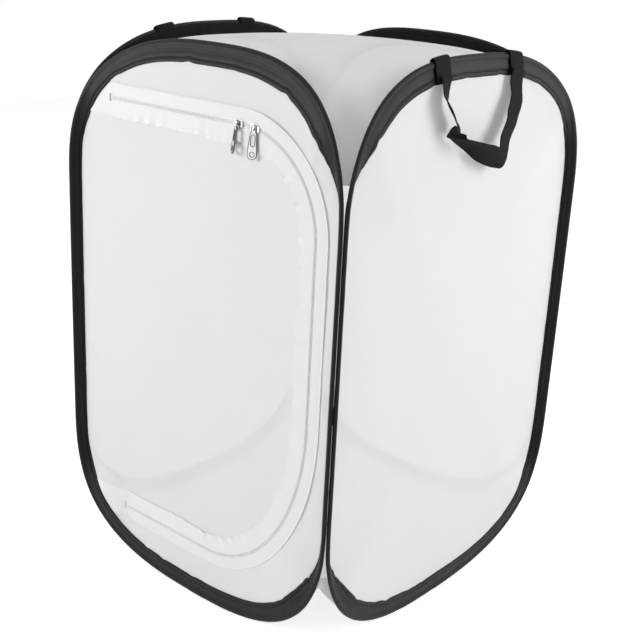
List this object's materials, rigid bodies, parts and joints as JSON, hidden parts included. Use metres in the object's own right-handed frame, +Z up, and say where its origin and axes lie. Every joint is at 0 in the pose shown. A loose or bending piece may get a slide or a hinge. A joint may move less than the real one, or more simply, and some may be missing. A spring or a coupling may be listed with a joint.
{
  "type": "insect cage",
  "caption": "Pop-up gauze insect cage on folding steel hoops, with a zipped front door and two webbing carrying handles.",
  "frame": {"origin": "middle of the base, on the surface that the cage stands on", "axes": "+Z up, -Y towards the zipped front, +X towards the right wall with its handle"},
  "size_m": [0.426, 0.4188, 0.6011],
  "materials": {
    "black_tape": "woven black polyester tape, soft sheen",
    "spring_steel": "satin flat wire",
    "gauze": "fine translucent white gauze",
    "white_tape": "woven white tape",
    "nylon_coil": "semi-gloss nylon coil",
    "nickel": "polished nickel plating",
    "webbing": "matt black webbing"
  },
  "bodies": {
    "root": {"front_sleeve": "black_tape", "front_hoop": "spring_steel", "front_ferrule": "spring_steel", "front_surround": "gauze", "top_net": "gauze", "floor_net": "gauze", "zip_tape_frame": "white_tape", "frame_binding": "white_tape", "zip_coil_frame": "nylon_coil", "top_zip_tack": "white_tape", "bottom_zip_tack": "white_tape"},
    "right_wall": {"right_sleeve": "black_tape", "right_hoop": "spring_steel", "right_ferrule": "spring_steel", "right_net": "gauze", "handle_right_front_foot": "webbing", "handle_right_rear_foot": "webbing"},
    "left_wall": {"left_sleeve": "black_tape", "left_hoop": "spring_steel", "left_ferrule": "spring_steel", "left_net": "gauze", "handle_left_front_foot": "webbing", "handle_left_rear_foot": "webbing"},
    "rear_wall": {"rear_sleeve": "black_tape", "rear_hoop": "spring_steel", "rear_ferrule": "spring_steel", "rear_net": "gauze"},
    "door": {"door_net": "gauze", "zip_tape_door": "white_tape", "door_binding": "white_tape", "zip_coil_door": "nylon_coil"},
    "slider_a": {"slider_a": "nickel"},
    "slider_b": {"slider_b": "nickel"},
    "pull_a": {"pull_a": "nickel"},
    "pull_b": {"pull_b": "nickel"},
    "handle_right": {"handle_right": "webbing"},
    "handle_left": {"handle_left": "webbing"}
  },
  "joints": [
    {"name": "left_fold", "type": "hinge", "parent": "root", "child": "left_wall", "pos_m": [-0.19614, -0.20614, 0.3], "axis": [0, 0, 1], "range_deg": [0, 75], "stiffness_Nm_per_rad": 0.6, "deforming": ["top_net", "floor_net"]},
    {"name": "right_fold", "type": "hinge", "parent": "root", "child": "right_wall", "pos_m": [0.18461, -0.19461, 0.3], "axis": [0, 0, 1], "range_deg": [0, 75]},
    {"name": "rear_fold", "type": "hinge", "parent": "left_wall", "child": "rear_wall", "pos_m": [-0.18461, 0.19461, 0.3], "axis": [0, 0, 1], "range_deg": [-75, 0]},
    {"name": "door_swing", "type": "hinge", "parent": "root", "child": "door", "pos_m": [-0.112, -0.19845, 0.062], "axis": [0.0383, 0, -0.9993], "range_deg": [0, 130]},
    {"name": "slider_a_travel", "type": "slide", "parent": "root", "child": "slider_a", "axis": [-1, 0, 0], "range_m": [0, 0.168]},
    {"name": "slider_b_travel", "type": "hinge", "parent": "root", "child": "slider_b", "pos_m": [0.061, -0.1989, 0.435], "axis": [0, 1, 0], "range_deg": [0, 78]},
    {"name": "pull_a_swing", "type": "hinge", "parent": "slider_a", "child": "pull_a", "pos_m": [0.0565, -0.2019, 0.5341], "axis": [-1, 0, 0], "range_deg": [0, 150]},
    {"name": "pull_b_swing", "type": "hinge", "parent": "slider_b", "child": "pull_b", "pos_m": [0.07878, -0.2019, 0.53249], "axis": [-1, 0, 0], "range_deg": [0, 150]},
    {"name": "handle_right_swing", "type": "hinge", "parent": "right_wall", "child": "handle_right", "pos_m": [0.1922, 0.003, 0.5799], "axis": [0, -1, 0], "range_deg": [0, 170]},
    {"name": "handle_left_swing", "type": "hinge", "parent": "left_wall", "child": "handle_left", "pos_m": [-0.1925, -0.016, 0.578], "axis": [0, 1, 0], "range_deg": [0, 170]}
  ],
  "couplings": [
    {"joint": "right_fold", "follows": "left_fold", "ratio": 1},
    {"joint": "rear_fold", "follows": "left_fold", "ratio": -1}
  ]
}
